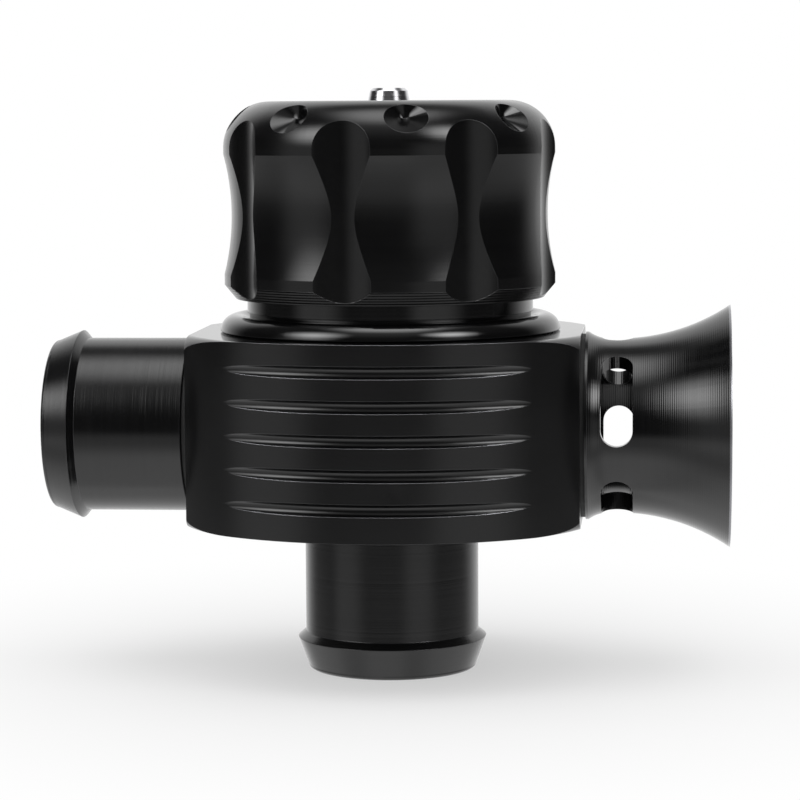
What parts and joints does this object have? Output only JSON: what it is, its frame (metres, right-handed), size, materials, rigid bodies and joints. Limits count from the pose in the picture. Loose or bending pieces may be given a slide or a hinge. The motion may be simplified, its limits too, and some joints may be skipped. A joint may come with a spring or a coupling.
{
  "type": "blow off valve",
  "caption": "Piston-type blow off valve with a hose barb inlet, a recirculation barb, a slotted trumpet outlet and a fluted screw cap that sets the spring preload.",
  "frame": {"origin": "on the valve's axis at the end face of the inlet barb, on which the valve stands", "axes": "+Z along the valve's axis from the inlet barb to the cap, +X along the side ports towards the trumpet, -Y the front"},
  "size_m": [0.0973, 0.056, 0.0834],
  "materials": {
    "black_anodised_satin": "milled, black anodised, satin",
    "black_anodised_turned": "turned, black anodised, semi-gloss",
    "black_anodised_polished": "turned and polished, black anodised, glossy",
    "bright_steel": "bright, nickel plated",
    "spring_steel": "drawn wire and zinc plated",
    "bare_alloy": "turned, clear anodised",
    "copper": "annealed copper",
    "seal_rubber": "moulded, matte"
  },
  "bodies": {
    "housing": {"valve_body": "black_anodised_satin", "inlet_barb": "black_anodised_turned", "inlet_seal": "seal_rubber", "recirc_barb": "black_anodised_turned", "recirc_seal": "seal_rubber", "trumpet": "black_anodised_turned", "trumpet_seal": "seal_rubber", "neck_collar": "black_anodised_turned", "collar_seal": "seal_rubber", "cap_ring": "seal_rubber"},
    "piston": {"piston": "bare_alloy", "upper_piston_ring": "seal_rubber", "lower_piston_ring": "seal_rubber", "seat_disc": "seal_rubber"},
    "spring_pack": {"spring_plate": "spring_steel", "spring": "spring_steel"},
    "cap": {"adjuster_cap": "black_anodised_polished", "vacuum_nipple": "bright_steel", "nipple_washer": "copper"}
  },
  "joints": [
    {"name": "piston_lift", "type": "slide", "parent": "housing", "child": "piston", "axis": [0, 0, 1], "range_m": [0, 0.01], "stiffness_N_per_m": 2500, "springref_m": -0.012, "deforming": ["spring"]},
    {"name": "cap_travel", "type": "slide", "parent": "housing", "child": "spring_pack", "axis": [0, 0, 1], "range_m": [-0.0015, 0.003], "deforming": ["spring"]},
    {"name": "cap_turn", "type": "hinge", "parent": "spring_pack", "child": "cap", "pos_m": [0, 0, 0.0675], "axis": [0, 0, 1], "range_deg": [-360, 720]}
  ],
  "couplings": [
    {"joint": "cap_turn", "follows": "cap_travel", "rad_per_m": 4188.8}
  ]
}
